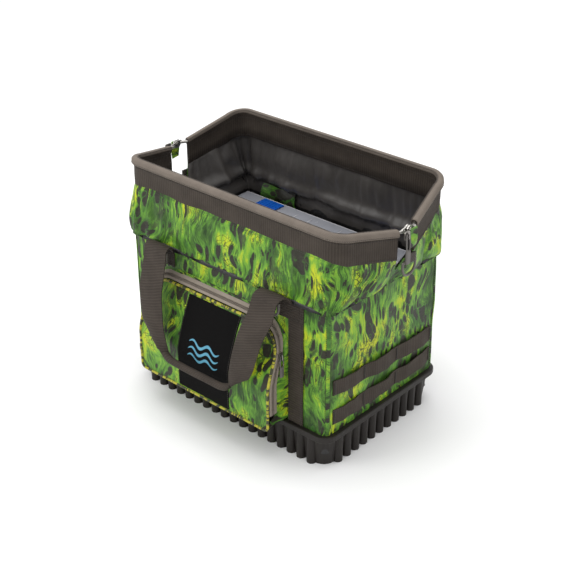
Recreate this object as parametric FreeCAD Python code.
"""Soft-sided fishing tackle bag on a moulded rubber base, with a wire-framed wide mouth.

X runs along the front to the right, Y to the back, Z up; millimetres; the origin is the
middle of the base's underside.  One STEP file is written per node.
"""
import FreeCAD, Part
import math, os

V = FreeCAD.Vector
os.makedirs("parts", exist_ok=True)

# ---------------------------------------------------------------- driving dimensions
LENGTH, DEPTH = 400.0, 264.0          # fabric body, outside
BX, BY = LENGTH / 2, DEPTH / 2
CORNER_R = 12.0                       # body corner
WALL_T = 4.0                          # coated fabric over foam
BASE_H, LIP_H, LIP_OUT = 58.0, 10.0, 8.0
FLOOR_T, BOARD_T = 6.0, 20.0
TUB_T = 7.0                           # tub wall below the cloth, measured at the lip
FOOT_Z = 49.0                         # the cloth walls stand on a ledge inside the lip
FLUTE_R, FLUTE_PITCH = 7.5, 20.0
FLUTES_LONG, FLUTES_SHORT = 18, 11    # flutes on each long and each short side
FOLD_Z = 268.0                        # where the upper skirt overhangs the lower body
FOLD_OUT, FOLD_R = 3.0, 14.0          # overhang at the fold, and its corner radius
SKIRT_T, LINING_T = 1.6, 0.8
PIN_Z, PIN_R = 362.0, 2.0             # frame pivots at the bag's two ends
FIT = 0.1                             # gap between neighbouring layers
FRONT_RIM, BACK_RIM = (-124.0, 388.0), (122.0, 400.0)      # zip edge, (y, z)
RIM_X, PIN_X, RIM_R = 212.0, 229.0, 28.0
BAND_H, WIRE_R = 48.0, 2.5
BAND_END = 20.0                       # the rim webbing stops this far from the pivot
WEB, WEB_T = 50.0, 2.0                # handle webbing
POCKET_X = (-148.0, 124.0)
POCKET_Z = (56.0, 213.0)
POCKET_Y = -175.0
HANDLE_AXIS = (-150.0, 262.0)
HANDLE_X = -6.0
TRAY_X, TRAY_Y, TRAY_Z = (-188.0, 167.0), (64.0, 112.0), (26.4, 256.0)


# ---------------------------------------------------------------- shape helpers
def save(name, *shapes):
    shape = shapes[0] if len(shapes) == 1 else Part.makeCompound(list(shapes))
    shape.exportStep("parts/%s.step" % name)


def box(x0, x1, y0, y1, z0, z1):
    return Part.makeBox(x1 - x0, y1 - y0, z1 - z0, V(x0, y0, z0))


def loft(sections, ring=False):
    """Solid through matched point loops; a loop's first half faces its second half."""
    k, faces = len(sections[0]), []

    def tri(a, b, c):
        if (b - a).cross(c - a).Length > 1e-7:
            faces.append(Part.Face(Part.makePolygon([a, b, c, a])))

    pairs = list(zip(sections, sections[1:] + sections[:1] if ring else sections[1:]))
    for a, b in pairs:
        for j in range(k):
            i = (j + 1) % k
            if j < k // 2:                       # matching diagonals on both faces of a sheet
                tri(a[j], a[i], b[i])
                tri(a[j], b[i], b[j])
            else:
                tri(a[j], a[i], b[j])
                tri(a[i], b[i], b[j])
    if not ring:
        for s in (sections[0], sections[-1]):
            for j in range(k // 2 - 1):
                tri(s[j], s[j + 1], s[k - 2 - j])
                tri(s[j], s[k - 2 - j], s[k - 1 - j])
    shell = Part.Shell(faces)
    shell.sewShape()
    solid = Part.Solid(shell if isinstance(shell, Part.Shell) else Part.Shell(shell.Faces))
    if solid.Volume < 0:
        solid.reverse()
    return solid


def rod(points, r, bend=0.0):
    """Round bar along a polyline whose inner corners are bent to an arc."""
    pts = [V(*p) for p in points]
    edges, last = [], pts[0]
    for a, b, c in zip(pts, pts[1:], pts[2:]):
        u, v = (a - b).normalize(), (c - b).normalize()
        ang = u.getAngle(v)
        cut = bend / math.tan(ang / 2)
        p, q = b + u * cut, b + v * cut
        mid = b + (u + v).normalize() * (bend / math.sin(ang / 2) - bend)
        edges += [Part.makeLine(last, p), Part.Arc(p, mid, q).toShape()]
        last = q
    edges.append(Part.makeLine(last, pts[-1]))
    path = Part.Wire(edges)
    ring = Part.Wire([Part.makeCircle(r, pts[0], pts[1] - pts[0])])
    return path.makePipeShell([ring], True, False)


def plate(outline, axis, lo, hi):
    """Flat polygon given in the two other axes, extruded along one axis."""
    place = {"x": lambda a, b: V(lo, a, b),
             "y": lambda a, b: V(a, lo, b),
             "z": lambda a, b: V(a, b, lo)}[axis]
    pts = [place(a, b) for a, b in outline]
    run = {"x": V(1, 0, 0), "y": V(0, 1, 0), "z": V(0, 0, 1)}[axis] * (hi - lo)
    return Part.Face(Part.makePolygon(pts + pts[:1])).extrude(run)


def rounded(hx, hy, r, n=6):
    """Points of a rounded rectangle about the origin, counter-clockwise, with normals."""
    out = []
    for cx, cy, a0 in ((1, -1, -90), (1, 1, 0), (-1, 1, 90), (-1, -1, 180)):
        for i in range(n + 1):
            a = math.radians(a0 + 90.0 * i / n)
            nx, ny = math.cos(a), math.sin(a)
            out.append((cx * (hx - r) + r * nx, cy * (hy - r) + r * ny, nx, ny))
    return out


def prism(hx, hy, r, z0, z1):
    pts = [(x, y) for x, y, _, _ in rounded(hx, hy, r)]
    return plate(pts, "z", z0, z1)


def mirror_x(shape):
    return shape.mirror(V(0, 0, 0), V(1, 0, 0))


def mirror_y(shape):
    return shape.mirror(V(0, 0, 0), V(0, 1, 0))


# ---------------------------------------------------------------- moulded base
# One rubber moulding: drafted tub, smooth lip, half-round flutes on all four sides.
def drafted(z, grow):
    return [V(x, y, z) for x, y, _, _ in rounded(BX + grow, BY + grow, 20.0)]


flute_top = BASE_H - LIP_H
tub = loft([drafted(0.0, -4.0), drafted(flute_top, 0.5)])
lip = prism(BX + LIP_OUT, BY + LIP_OUT, 22.0, flute_top, BASE_H)
lip = lip.makeFillet(2.0, [e for e in lip.Edges if e.BoundBox.ZLength < 0.01])
tub = tub.fuse(lip)
flutes, sunk = [], 3.0                # flute axes lie this far inside the body's faces
for s in (-1, 1):
    for i in range(FLUTES_LONG):
        x = (i - (FLUTES_LONG - 1) / 2.0) * FLUTE_PITCH
        flutes.append(Part.makeCylinder(FLUTE_R, flute_top + 1, V(x, s * (BY - sunk), 0)))
    for i in range(FLUTES_SHORT):
        y = (i - (FLUTES_SHORT - 1) / 2.0) * FLUTE_PITCH
        flutes.append(Part.makeCylinder(FLUTE_R, flute_top + 1, V(s * (BX - sunk), y, 0)))
tub = tub.multiFuse(flutes)
tub = tub.cut(prism(BX - TUB_T, BY - TUB_T, 10.0, FLOOR_T, BASE_H + 1))
tub = tub.cut(prism(BX + FIT, BY + FIT, CORNER_R, FOOT_Z, BASE_H + 1))
save("base_tub", tub)
board_in = TUB_T + 0.4
save("floor_board", prism(BX - board_in, BY - board_in, 9.8, FLOOR_T, FLOOR_T + BOARD_T))


# ---------------------------------------------------------------- lower body walls
# Four padded fabric panels sewn together at the corners, and a thin black lining.
shell = prism(BX, BY, CORNER_R, FOOT_Z, FOLD_Z)
shell = shell.cut(prism(BX - WALL_T, BY - WALL_T, CORNER_R - WALL_T, FOOT_Z - 1, FOLD_Z + 1))
beyond = 400.0                        # reaches past the whole body
seam_y = BY - CORNER_R                # the side panels end here, the long ones take the corners
end_y = seam_y - 0.05
save("front_wall", shell.common(box(-beyond, beyond, -beyond, -seam_y, 0, beyond)))
save("back_wall", shell.common(box(-beyond, beyond, seam_y, beyond, 0, beyond)))
save("right_wall", shell.common(box(0, beyond, -end_y, end_y, 0, beyond)))
save("left_wall", shell.common(box(-beyond, 0, -end_y, end_y, 0, beyond)))
inset = WALL_T + FIT
inner = inset + 1.0
lining = prism(BX - inset, BY - inset, CORNER_R - inset, FOOT_Z + 0.2, FOLD_Z)
lining = lining.cut(prism(BX - inner, BY - inner, CORNER_R - inner, FOOT_Z - 1, FOLD_Z + 1))
save("lower_lining", lining)
save("inner_tab", box(-156, -84, BY - inset - 4.0, BY - inset - 2.0, 244, 274))


# ---------------------------------------------------------------- upper skirt and mouth rim
# Half of the mouth, as columns from the left pivot round to the right pivot.  side is -1
# for the front half and +1 for the back half.
def half(side):
    rim_y, rim_z = FRONT_RIM if side < 0 else BACK_RIM
    reach = math.hypot(rim_y, rim_z - PIN_Z)
    cos_a, sin_a = abs(rim_y) / reach, (rim_z - PIN_Z) / reach
    flat = []                                   # (x, distance from pivot) in the rim plane
    for f in (0.0, 0.125, 0.25, 0.375, 0.5, 0.625, 0.75, 0.875):
        flat.append((PIN_X + (RIM_X - PIN_X) * f, BAND_END + (reach - RIM_R - BAND_END) * f))
    for i in range(9):
        a = math.radians(90.0 * i / 8)
        flat.append((RIM_X - RIM_R + RIM_R * math.cos(a), reach - RIM_R + RIM_R * math.sin(a)))
    run = [(-x, s) for x, s in flat]
    run += [(-(RIM_X - RIM_R) * (1 - 2 * i / 8.0), reach) for i in range(1, 8)]
    run += [(x, s) for x, s in reversed(flat)]
    cols = []
    for i, (x, s) in enumerate(run):
        a, b = run[max(i - 1, 0)], run[min(i + 1, len(run) - 1)]
        tx, ts = b[0] - a[0], b[1] - a[1]
        n = V(-ts, side * tx, 0).normalize()     # outward, level
        cols.append((V(x, side * s * cos_a, PIN_Z + s * sin_a), n, s))
    return cols


def rim(cols, profile):
    """Sweep a profile given as (outward, below the rim plane) along the mouth."""
    return loft([[p + n * o - V(0, 0, d) for o, d in profile] for p, n, s in cols])


def fold_point(p, n, side, s):
    """The point on the fold line below a rim column."""
    if abs(n.x) > 0.97:                                   # along the ends
        reach = abs((FRONT_RIM if side < 0 else BACK_RIM)[0])
        f = (s - BAND_END) / (reach - RIM_R - BAND_END)
        y = side * (0.2 + min(f, 1.0) * (BY + FOLD_OUT - FOLD_R - 0.2))
        return V(math.copysign(BX + FOLD_OUT, p.x), y, FOLD_Z)
    a = math.atan2(n.y, n.x)
    if abs(n.y) > 0.999:
        along = p.x * (BX + FOLD_OUT - FOLD_R) / (RIM_X - RIM_R)
        return V(along, side * (BY + FOLD_OUT), FOLD_Z)
    cx, cy = math.copysign(BX + FOLD_OUT - FOLD_R, n.x), side * (BY + FOLD_OUT - FOLD_R)
    return V(cx + FOLD_R * math.cos(a), cy + FOLD_R * math.sin(a), FOLD_Z)


def skirt(cols, side, t0, t1):
    """Skirt sheet between two depths below the outer face, from the fold to the rim webbing."""
    sections = []
    for p, n, s in cols:
        low, top = fold_point(p, n, side, s), p - V(0, 0, BAND_H + 0.5)
        knee = low + (top - low) * 0.36
        if abs(n.x) > 0.97:
            notch = max(0.0, 1.0 - (s - BAND_END) / 40.0)
            knee.y = knee.y * (1 - notch) + side * 0.2 * notch
        outer = [low, knee, top]
        sections.append([q - n * t0 for q in outer] + [q - n * t1 for q in reversed(outer)])
    return sections


MATE = 0.4                                        # everything stays this far below the rim plane
for side, word in ((-1, "front"), (1, "back")):
    cols = half(side)
    corner = [i for i, (p, n, s) in enumerate(cols) if 0.6 < abs(n.x) < 0.8]
    first, last = min(corner), max(corner)
    parts = skirt(cols, side, 0.0, SKIRT_T)
    save("%s_skirt" % word, loft(parts[first:last + 1]))
    save("%s_left_skirt" % word, loft(parts[:first + 1]))
    save("%s_right_skirt" % word, loft(parts[last:]))
    lining = skirt(cols, side, SKIRT_T + FIT, SKIRT_T + FIT + LINING_T)
    if side < 0:
        front_lining = loft(lining)
    else:
        save("upper_lining", front_lining, loft(lining))

    # webbing folded over the wire: two leaves closed below the casing
    leaf, gap, case = 1.6, FIT, WIRE_R + 0.15
    top = MATE + 1.2
    wz = top + leaf + WIRE_R + 0.3               # depth of the wire centre
    right_outside = [(leaf + gap, BAND_H), (leaf + gap, wz + 5.0), (case + leaf, wz + 1.5),
                     (case + leaf, wz - 1.5), (1.6, top)]
    left_inside = [(-gap, BAND_H), (-gap, wz + 4.6), (-case, wz + 1.3), (-case, wz - 1.1),
                   (-1.2, top + leaf)]
    outside = right_outside + [(-o, d) for o, d in reversed(right_outside)]
    inside = left_inside + [(-o, d) for o, d in reversed(left_inside)]
    save("%s_band" % word, rim(cols, outside + inside))

    # zip tape lying over the top of the casing, with its coil
    z_out = case + leaf + FIT
    over = [(z_out + 1.0, top + 9.5), (z_out + 1.0, top + 1.2), (1.9, MATE + 0.15)]
    under = [(-z_out, top + 9.5), (-z_out, top + 1.3), (-1.7, top - 0.1)]
    tape = over + [(-o, d) for o, d in reversed(over)]
    tape += under + [(-o, d) for o, d in reversed(under)]
    save("%s_zip" % word, rim(cols, tape))

    # steel wire in the casing; its flattened ends turn up to the pivot
    rim_y, rim_z = FRONT_RIM if side < 0 else BACK_RIM
    reach = math.hypot(rim_y, rim_z - PIN_Z)

    def frame_point(x, s, d):
        return V(x, rim_y / reach * s, PIN_Z + (rim_z - PIN_Z) / reach * s - d)

    eye = 231.8 if side < 0 else 235.4            # middle of this frame's eye plate
    turns = [math.radians(30 * i) for i in range(12)]
    circle = [(WIRE_R * math.cos(a), wz + WIRE_R * math.sin(a)) for a in turns]
    left_end, right_end = [(frame_point(s * eye, 9.0, -3.0), V(s, 0, 0), 9.0) for s in (-1, 1)]
    body = rim([left_end] + cols + [right_end], circle)
    ends = []
    for s in (-1, 1):
        x0 = s * eye - 1.2
        tail = frame_point(0, 11.0, wz - 3.0)
        ends.append(Part.makeCylinder(6.0, 2.4, V(x0, 0, PIN_Z), V(1, 0, 0)))
        ends.append(Part.makeCylinder(3.2, 2.4, V(x0, tail.y, tail.z), V(1, 0, 0)))
        link = [(0, PIN_Z + 5.0), (0, PIN_Z - 5.5), (tail.y, tail.z - 3.1), (tail.y, tail.z + 3.1)]
        ends.append(plate(link, "x", x0, x0 + 2.4))
    body = body.multiFuse(ends)
    hole = PIN_R if side < 0 else PIN_R + 0.05
    for s in (-1, 1):
        body = body.cut(Part.makeCylinder(hole, 20, V(s * 233.5 - 10, 0, PIN_Z), V(1, 0, 0)))
    save("%s_wire" % word, body)

# headed rivets, tight in the front frame's eyes and running in the back frame's
pins = []
for s in (-1, 1):
    pin = Part.makeCylinder(PIN_R, 8.4, V(s * 229.9 if s > 0 else -238.3, 0, PIN_Z), V(1, 0, 0))
    for x in (229.0, 237.0):
        head = Part.makeCylinder(4.0, 1.5, V(x if s > 0 else -x - 1.5, 0, PIN_Z), V(1, 0, 0))
        pin = pin.fuse(head)
    pins.append(pin.removeSplitter())
save("hinge_pins", *pins)


# ---------------------------------------------------------------- main zip sliders
# A metal slider parked at each end of the front half's zip, with a moulded loop pull.
sliders = []
for s, word in ((-1, "left"), (1, "right")):
    x = s * (PIN_X + 11.5)
    plate_x = box(-1.0, 1.0, -6.0, 6.0, -12.0, 0.0)
    plate_x = plate_x.makeFillet(1.8, [e for e in plate_x.Edges if e.BoundBox.XLength > 1.9])
    bridge = rod([(0.8, 0, -2.0), (4.2, 0, -2.0), (4.2, 0, -10.0), (0.8, 0, -10.0)], 0.9, 1.2)
    part = plate_x.fuse(bridge)
    if s < 0:
        part = mirror_x(part)
    part.translate(V(x, -12.5, PIN_Z + 2.0))
    sliders.append(part)
    # cord loop with a moulded grip, hanging from the bridge
    top_z, y0 = PIN_Z + 2.0 - 6.0, -12.5
    px = s * (abs(x) + 3.2)
    rx = px - s * 1.0                            # the loop's own plane, nearer the slider
    ring = rod([(rx, y0 - 3.4, top_z), (rx, y0 - 3.4, top_z + 2.2),
                (rx, y0 + 3.4, top_z + 2.2), (rx, y0 + 3.4, top_z)], 0.9, 0.8)
    sides = [rod([(rx, y0 + t * 3.4, top_z + 0.2), (px, y0 + t * 4.2, top_z - 12),
                  (px, y0 + t * 3.0, top_z - 24)], 1.1, 6.0) for t in (-1, 1)]
    grip = box(px - 2.2, px + 2.2, y0 - 4.6, y0 + 4.6, top_z - 44, top_z - 22)
    grip = grip.makeFillet(2.0, grip.Edges)
    save("main_pull_%s" % word, ring.multiFuse(sides + [grip]))
save("main_sliders", *sliders)
covers = []
for s in (-1, 1):
    a, b = sorted((s * 239.1, s * 240.3))
    covers.append(box(a, b, -5.0, 11.0, PIN_Z - 26, PIN_Z + 3))
save("pin_covers", *covers)


# ---------------------------------------------------------------- front pocket
# Bellows pocket: camo gusset, zip tape on three sides, a piped front panel hinged below.
LEAN_Z, LEAN = 125.0, 31.0            # the face leans back from this height by this much


def face_y(z):
    """Pocket face: upright below, leaning back to the wall above."""
    if z < LEAN_Z:
        return POCKET_Y
    return POCKET_Y + LEAN * ((z - LEAN_Z) / (POCKET_Z[1] - LEAN_Z)) ** 1.25


def outline(x0, x1, z0, z1, r_low, r_top, n=8):
    corners = ((x1, z0, r_low, -90), (x1, z1, r_top, 0), (x0, z1, r_top, 90), (x0, z0, r_low, 180))
    pts = []
    for cx, cz, r, a0 in corners:
        ox, oz = (cx - r if cx == x1 else cx + r), (cz + r if cz == z0 else cz - r)
        for i in range(n + 1):
            a = math.radians(a0 + 90.0 * i / n)
            pts.append((ox + r * math.cos(a), oz + r * math.sin(a), math.cos(a), math.sin(a)))
    # extra stations along the straight runs keep the lean smooth
    full = []
    for a, b in zip(pts, pts[1:] + pts[:1]):
        full.append(a)
        gap = math.hypot(b[0] - a[0], b[1] - a[1])
        steps = int(gap // 20)
        for i in range(1, steps):
            f = i / float(steps)
            full.append(tuple(p + (q - p) * f for p, q in zip(a, b)))
    return full


face = outline(POCKET_X[0], POCKET_X[1], POCKET_Z[0], POCKET_Z[1], 8.0, 42.0)


def wall_point(x, z, nx, nz):
    f = (z - POCKET_Z[0]) / (POCKET_Z[1] - POCKET_Z[0])
    return V(x + nx * 3.0, -BY - FIT, z + (19.0 * f if nz > -0.5 else 3.0))


def strip(start, end, low_start, t=1.6):
    """Ring strip of the gusset: from start mm behind the face to end mm, or to the wall."""
    sections = []
    for x, z, nx, nz in face:
        f, w = V(x, face_y(z), z), wall_point(x, z, nx, nz)
        span = (w - f).Length
        blend = max(0.0, min(1.0, (z - POCKET_Z[0] - 14.0) / 10.0))
        a = low_start + (start - low_start) * blend
        b = span if end is None else end
        a = min(a, b - 0.5)
        p, q = f + (w - f) * (a / span), f + (w - f) * (b / span)
        n = V(nx, 0, nz)
        sections.append([p, q, q - n * t, p - n * t])
    return sections


save("pocket_gusset", loft(strip(18.5, None, 3.2), ring=True))


def upright(sections):
    keep = [i for i, (x, z, nx, nz) in enumerate(face) if z > 84.0]
    first = keep[0]
    return sections[first:keep[-1] + 1]


save("pocket_zip_outer", loft(upright(strip(9.6, 18.3, 9.6, 1.2))))
save("pocket_zip_inner", loft(upright(strip(3.5, 9.2, 3.5, 1.2))))
slab_pts = [(face_y(z), z) for z in [40, LEAN_Z - 0.1] + [LEAN_Z + 8.8 * i for i in range(1, 12)]]


def slab(front, thick):
    """Sheet that follows the pocket face, from front mm ahead of it."""
    a = [(y - front, z) for y, z in slab_pts]
    b = [(y - front + thick, z) for y, z in reversed(slab_pts)]
    return plate(a + b, "x", -300, 300)


before_y, behind_y = -220.0, -100.0   # cutting bodies span the pocket face
trim = 2.5                            # the front panel ends inside the piping
inside_face = outline(POCKET_X[0] + trim, POCKET_X[1] - trim, POCKET_Z[0] + trim,
                      POCKET_Z[1] - trim, 6.0, 39.5)
flap = slab(0.0, 2.4).common(plate([(x, z) for x, z, _, _ in inside_face], "y", before_y, behind_y))
save("pocket_flap", flap)
panel = box(-62, 46, before_y, behind_y, POCKET_Z[0] + 3, POCKET_Z[1] - 3)
panel = slab(0.8, 0.7).common(panel)
save("pocket_panel", panel)
waves = []
for i in range(3):
    lo, hi = [], []
    for j in range(25):
        x = -40.0 + 64.0 * j / 24
        z = 146.0 - 11.0 * i + 4.0 * math.sin(j / 24.0 * 4 * math.pi)
        lo.append((x, z - 2.0))
        hi.append((x, z + 2.0))
    waves.append(plate(lo + hi[::-1], "y", before_y, behind_y).common(slab(1.2, 0.35)))
save("pocket_emblem", *waves)
sections, cord_r = [], 2.2
for x, z, nx, nz in face:
    c, n = V(x, face_y(z), z), V(nx, 0, nz)
    turns = [math.radians(45 * j) for j in range(8)]
    sections.append([c + (n * math.cos(a) + V(0, 1, 0) * math.sin(a)) * cord_r for a in turns])
save("pocket_piping", loft(sections, ring=True))

# sliders at the top of the straight side runs, each with a cord-loop pull
for s, word in ((-1, "left"), (1, "right")):
    edge = POCKET_X[0] if s < 0 else POCKET_X[1]
    z = 176.0
    cy = face_y(z) + 9.5
    x0, x1 = sorted((edge + s * 2.1, edge + s * 3.7))
    plate_s = box(x0, x1, cy - 4.5, cy + 4.5, z - 6, z + 6)
    plate_s = plate_s.makeFillet(1.5, [e for e in plate_s.Edges if e.BoundBox.XLength > 1.5])
    xb = edge + s * 3.3
    bridge = rod([(xb, cy, z + 4.4), (xb + s * 3.4, cy, z + 4.4),
                  (xb + s * 3.4, cy, z - 4.4), (xb, cy, z - 4.4)], 0.8, 1.2)
    save("pocket_slider_%s" % word, plate_s.fuse(bridge))
    px = edge + s * 4.8
    gx = px + s * 0.8                            # the cords and the grip hang just outside
    ring = rod([(px, cy - 3.0, z - 1.0), (px, cy - 3.0, z + 1.4),
                (px, cy + 3.0, z + 1.4), (px, cy + 3.0, z - 1.0)], 0.7, 0.8)
    legs = [rod([(px, cy + t * 3.0, z - 0.8), (gx, cy + t * 3.6, z - 10),
                 (gx, cy + t * 2.4, z - 18)], 0.9, 6.0) for t in (-1, 1)]
    near, far = sorted((px - s * 1.4, px + s * 2.2))
    grip = box(near, far, cy - 3.6, cy + 3.6, z - 34, z - 16)
    grip = grip.makeFillet(1.5, grip.Edges)
    save("pocket_pull_%s" % word, ring.multiFuse(legs + [grip]))


# ---------------------------------------------------------------- handles, straps and rings
# 50 mm ribbed webbing: flat straps on the wall, an arch, and a folded grip.
def web_loft(stations, t):
    """Webbing through (centre, width direction, width, thickness direction) stations."""
    out = []
    for c, w, width, n in stations:
        c, w, n = V(*c), V(*w).normalize(), V(*n).normalize()
        out.append([c - w * width / 2 - n * t / 2, c + w * width / 2 - n * t / 2,
                    c + w * width / 2 + n * t / 2, c - w * width / 2 + n * t / 2])
    return loft(out)


def handle_parts():
    """Webbing and grip of the front handle, hanging in front of the pocket."""
    legs = []
    ay, az = HANDLE_AXIS
    for s in (-1, 1):
        st = []
        for i in range(9):
            a = math.radians(180.0 * i / 8)
            y, z = ay + 11.5 * math.cos(a), az + 11.5 * math.sin(a)
            x = HANDLE_X + s * (121 - 9 * i / 8.0)
            st.append(((x, y, z), (1, 0, 0), 46.0, (0, math.cos(a), math.sin(a))))
        # half spread, y, z, width and lean of the webbing on its way down
        drop = [(110, -171, 238, 46, -25), (104, -182, 212, 46, -14), (97, -188, 184, 46, -6),
                (90, -191, 156, 45, 0), (80, -192, 136, 38, 0)]
        for x, y, z, w, lean in drop:
            a = math.radians(lean)
            st.append(((HANDLE_X + s * x, y, z), (1, 0, s * -0.15), w, (0, -math.cos(a), -math.sin(a))))
        st.append(((HANDLE_X + s * 68, -192, 119), (1, 0, s * 0.75), 24.0, (0, -1, 0)))
        legs.append(web_loft(st, WEB_T))
    length, grip_y, grip_z = 124.0, -192.0, 111.0
    flatten = FreeCAD.Matrix()
    flatten.scale(1.0, 0.75, 1.0)
    grip = Part.makeCylinder(7.0, length, V(-length / 2, 0, 0), V(1, 0, 0))
    grip = grip.transformGeometry(flatten)
    grip.translate(V(HANDLE_X, grip_y, grip_z))
    return [leg.cut(grip) for leg in legs], grip


def d_ring(cx, cy, cz, width, drop, r):
    """D-ring with its bar on top at the given centre, hanging in an XZ plane."""
    h = width / 2
    bar = Part.makeCylinder(r, width, V(cx - h, cy, cz), V(1, 0, 0))
    bow = rod([(cx - h, cy, cz), (cx - h, cy, cz - drop), (cx + h, cy, cz - drop),
               (cx + h, cy, cz)], r, min(drop, h) - 0.6)
    ends = [Part.makeSphere(r, V(cx + t * h, cy, cz)) for t in (-1, 1)]
    return bow.multiFuse([bar] + ends)


TAB_BORE = 1.98                       # tab loops run on the rings' bars
legs, grip = handle_parts()
tabs, rings = [], {}
ay, az = HANDLE_AXIS
for s, word in ((-1, "left"), (1, "right")):
    cx = HANDLE_X + s * 115
    rings[word] = d_ring(cx, ay, az, 30.0, 22.0, 1.9)
    loop = Part.makeCylinder(3.4, 22, V(cx - 11, ay, az), V(1, 0, 0))
    loop = loop.fuse(box(cx - 11, cx + 11, ay - 1.2, ay + 1.2, az, az + 10.2))
    tabs.append(loop.cut(Part.makeCylinder(TAB_BORE, 40, V(cx - 20, ay, az), V(1, 0, 0))))
for word, flip in (("front", lambda q: q), ("back", mirror_y)):
    save("%s_handle" % word, *[flip(q) for q in legs])
    save("%s_grip" % word, flip(grip))
    save("%s_ring_tabs" % word, *[flip(q) for q in tabs])
    for side_word in ("left", "right"):
        save("%s_ring_%s" % (word, side_word), flip(rings[side_word]))
straps = [box(s * 131 - WEB / 2, s * 131 + WEB / 2, -BY - 1.9, -BY - FIT, BASE_H + 1, 262.0)
          for s in (-1, 1)]
front_straps = [q.cut(box(POCKET_X[0] - 4, POCKET_X[1] + 4, -140, -130, 50, 234)) for q in straps]
save("front_straps", *front_straps)
save("back_straps", *[mirror_y(q) for q in straps])


# ---------------------------------------------------------------- webbing and rings on the ends
for s, word in ((-1, "left"), (1, "right")):
    strips = []
    for z_front, z_back in ((126.0, 114.0), (75.0, 76.0)):
        st = []
        for i in range(9):
            y = -BY + 13 + (DEPTH - 26) * i / 8.0
            z = z_front + (z_back - z_front) * i / 8.0 + 12.5
            st.append(((s * (BX + 1.1), y, z), (0, 0, 1), 25.0, (s, 0, 0)))
        strips.append(web_loft(st, 1.8))
    save("end_webbing_%s" % word, *strips)
ring_x, ring_y, ring_z = 226.0, 16.0, 302.0
tab_list = []
for s, word in ((-1, "left"), (1, "right")):
    ring = d_ring(0, 0, 0, 30.0, 22.0, 1.9)
    ring.rotate(V(0, 0, 0), V(0, 0, 1), 90)
    ring.translate(V(s * ring_x, ring_y, ring_z))
    save("end_ring_%s" % word, ring)
    a, b = sorted((s * (ring_x + 1.0), s * (ring_x + 3.4)))
    tab = Part.makeCylinder(3.3, 22, V(s * ring_x, ring_y - 11, ring_z), V(0, 1, 0))
    tab = tab.fuse(box(a, b, ring_y - 11, ring_y + 11, ring_z, ring_z + 13))
    bore = Part.makeCylinder(TAB_BORE, 40, V(s * ring_x, ring_y - 20, ring_z), V(0, 1, 0))
    tab_list.append(tab.cut(bore))
save("end_ring_tabs", *tab_list)


# ---------------------------------------------------------------- utility tray
# Clear tray standing on its long edge: body with floor and dividers, lid, two latches.
x0, x1 = TRAY_X
y0, y1 = TRAY_Y
z0, z1 = TRAY_Z
wall = 1.8
lid_y = y0 + 10.0


def tray_box(ya, yb, grow=0.0):
    b = box(x0 - grow, x1 + grow, ya, yb, z0 - grow, z1 + grow)
    return b.makeFillet(8.0, [e for e in b.Edges if e.BoundBox.YLength > yb - ya - 0.01])


def inner_box(ya, yb, t):
    b = box(x0 + t, x1 - t, ya, yb, z0 + t, z1 - t)
    return b.makeFillet(8.0 - t, [e for e in b.Edges if e.BoundBox.YLength > yb - ya - 0.01])


floor_y = y1 - 13.0
tray = tray_box(lid_y + 0.4, y1).cut(inner_box(lid_y, floor_y - wall, wall))
save("tray_body", tray.cut(inner_box(floor_y, y1 + 1, 4.0)))
lid = tray_box(y0, lid_y).cut(inner_box(y0 + wall, lid_y + 1, wall))
save("tray_lid", lid)
thin = 0.7                            # half the thickness of a divider
shelves, posts = (103.0, 180.0), (-119.0, -57.0, -28.0, 34.0, 101.0)
dividers = [box(x0 + wall, x1 - wall, lid_y + 2, floor_y - wall, z - thin, z + thin)
            for z in shelves]
lows = [z0 + wall] + [z + thin for z in shelves]
highs = [z - thin for z in shelves] + [z1 - wall]
across = [box(x - thin, x + thin, lid_y + 2, floor_y - wall, a, b)
          for x in posts for a, b in zip(lows, highs)]
save("tray_dividers", *(dividers + across))
mid = (x0 + x1) / 2
for s, word in ((-1, "left"), (1, "right")):
    cx = mid + s * 105.0
    top = box(cx - 21, cx + 21, y0 + 2.0, y1 - 6.0, z1 + 0.5, z1 + 2.5)
    ribs = [box(cx - 20, cx + 20, y0 + 5.5 + 5.0 * i, y0 + 7.1 + 5.0 * i, z1 + 2.5, z1 + 3.2)
            for i in range(7)]
    barrel = Part.makeCylinder(2.1, 42, V(cx - 21, y0 + 2.0, z1 + 2.4), V(1, 0, 0))
    save("tray_latch_%s" % word, top.fuse(barrel).multiFuse(ribs))
